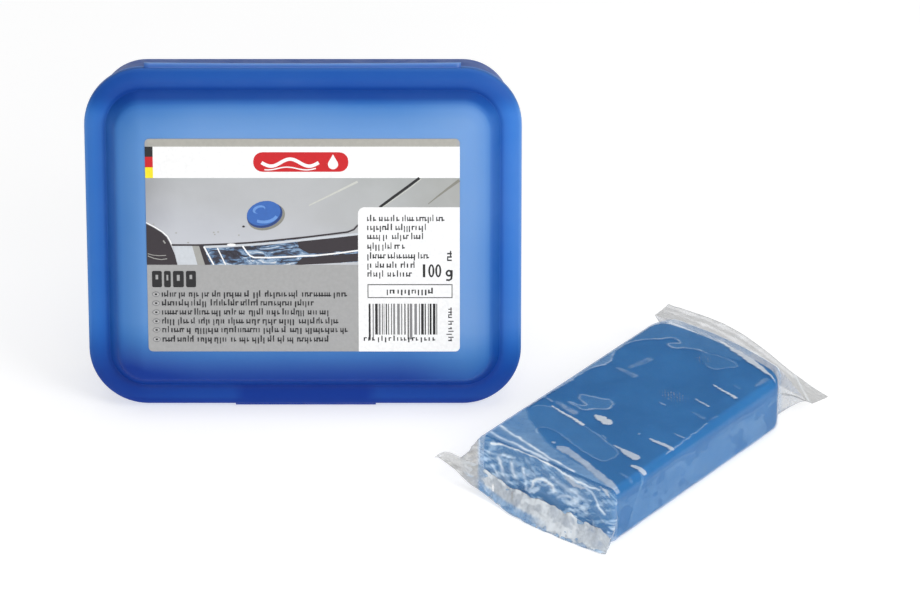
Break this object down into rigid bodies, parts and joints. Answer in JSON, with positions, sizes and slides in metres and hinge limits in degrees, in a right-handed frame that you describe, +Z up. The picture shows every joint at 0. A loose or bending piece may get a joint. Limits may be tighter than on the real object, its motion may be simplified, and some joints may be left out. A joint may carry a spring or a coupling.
{
  "type": "clay bar",
  "caption": "Blue detailing clay bar sealed in clear film, beside its hinged translucent storage case with a label panel and a snap catch.",
  "frame": {"origin": "centre of the sealed block's flat underside, on the floor that the block and the case both stand on", "axes": "+X runs to the right along the case's width, +Y runs back away from the label side, +Z is up"},
  "size_m": [0.2399, 0.1377, 0.1133],
  "materials": {
    "tub_plastic": "frosted blue translucent polypropylene",
    "lid_plastic": "frosted blue translucent polypropylene",
    "hinge_plastic": "thin stretched polypropylene, paler where it bends",
    "latch_plastic": "moulded polypropylene",
    "label_print": "printed satin label stock",
    "clay": "smooth detailing clay",
    "clear_film": "clear packing film"
  },
  "bodies": {
    "case_base": {"base_tub": "tub_plastic", "catch_ledge": "tub_plastic", "catch_bead": "tub_plastic", "base_hinge_leaf": "tub_plastic", "living_hinge_web": "hinge_plastic"},
    "lid": {"lid_shell": "lid_plastic", "lid_plug_rim": "lid_plastic", "lid_hinge_leaf": "lid_plastic", "label": "label_print"},
    "latch": {"latch_tongue": "latch_plastic"},
    "clay_pack": {"clay_block": "clay", "film_sleeve": "clear_film", "film_near_seal": "clear_film", "film_far_seal": "clear_film", "film_back_seam": "clear_film"}
  },
  "joints": [
    {"name": "lid_hinge", "type": "hinge", "parent": "case_base", "child": "lid", "pos_m": [-0.1067, 0.05363, 0.11283], "axis": [-1, 0, 0], "range_deg": [0, 180]},
    {"name": "latch_flex", "type": "hinge", "parent": "lid", "child": "latch", "pos_m": [-0.1067, 0.02906, 0.00684], "axis": [1, 0, 0], "range_deg": [0, 12], "stiffness_Nm_per_rad": 0.6},
    {"name": "pack_lift", "type": "slide", "parent": "case_base", "child": "clay_pack", "axis": [0, 0, 1], "range_m": [0, 0.12]}
  ]
}
